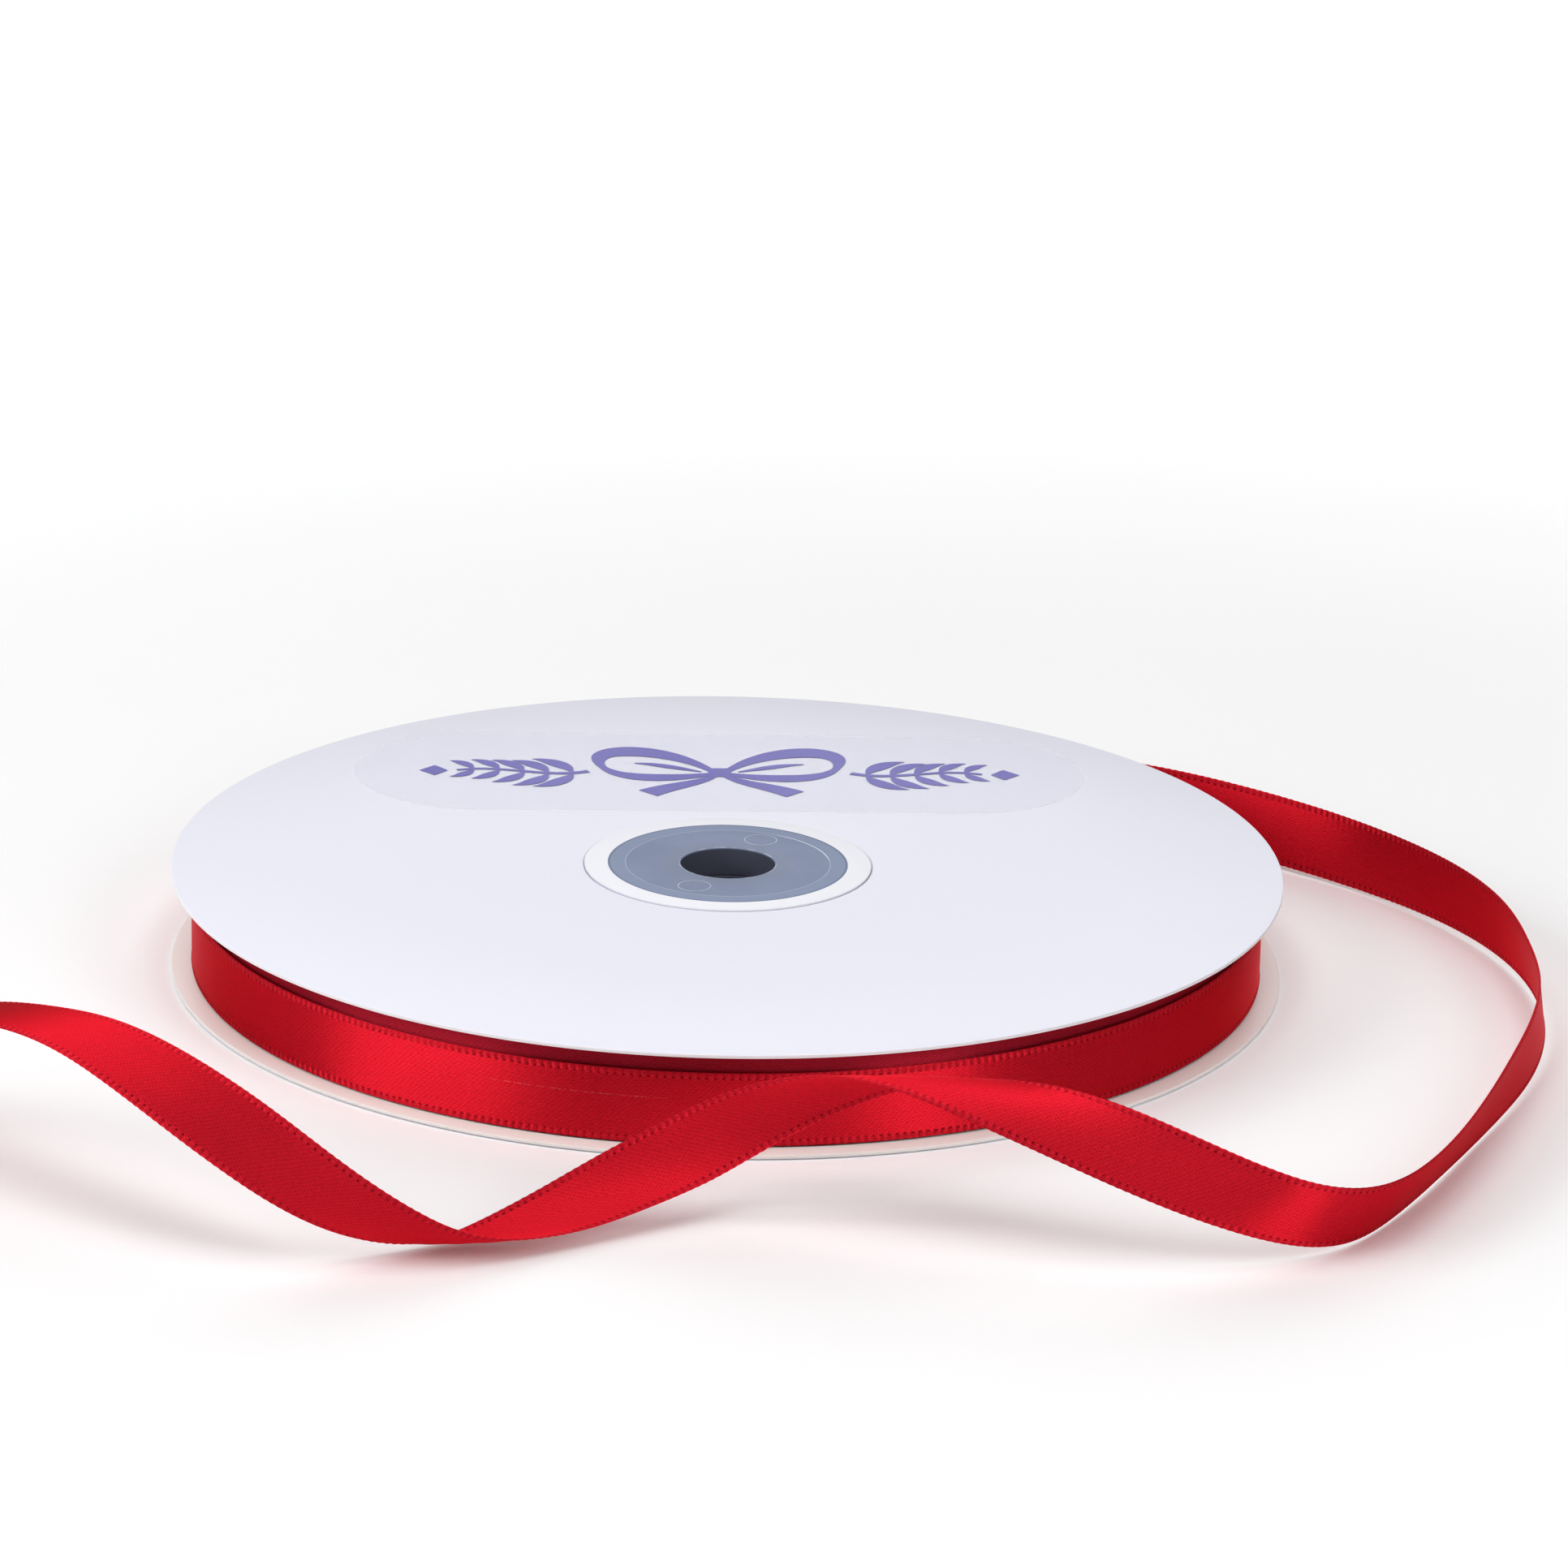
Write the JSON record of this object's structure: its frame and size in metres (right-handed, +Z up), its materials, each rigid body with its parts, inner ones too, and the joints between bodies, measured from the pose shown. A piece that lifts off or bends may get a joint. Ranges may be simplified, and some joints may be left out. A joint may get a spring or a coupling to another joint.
{
  "type": "ribbon spool",
  "caption": "Flat spool of narrow satin ribbon with white board flanges and a plastic hub, its free end standing on edge round the spool and curling over in front of it.",
  "frame": {"origin": "where the hub's axis meets the surface that the spool lies on", "axes": "+Z up along the hub's axis; +X to the right and +Y away from the side where the free end curls"},
  "size_m": [0.3093, 0.2348, 0.0291],
  "materials": {
    "flange_board": "smooth coated white board, faint sheen",
    "hub_plastic": "translucent milky moulded plastic",
    "core_board": "spiral-wound grey board",
    "tape_film": "thin adhesive tape",
    "satin_ribbon": "double-face satin with woven selvages",
    "label_film": "clear film label"
  },
  "bodies": {
    "spool": {"top_flange": "flange_board", "bottom_flange": "flange_board", "hub_upper": "hub_plastic", "hub_lower": "hub_plastic", "core_tube": "core_board", "core_tape": "tape_film", "ribbon_pack": "satin_ribbon", "label_sticker": "label_film"},
    "free_ribbon": {"ribbon_outer_turn": "satin_ribbon", "ribbon_tail": "satin_ribbon"}
  },
  "joints": [
    {"name": "unwind_turn", "type": "hinge", "parent": "spool", "child": "free_ribbon", "pos_m": [0, 0, 0.0071], "axis": [0, 0, 1], "continuous": true}
  ]
}
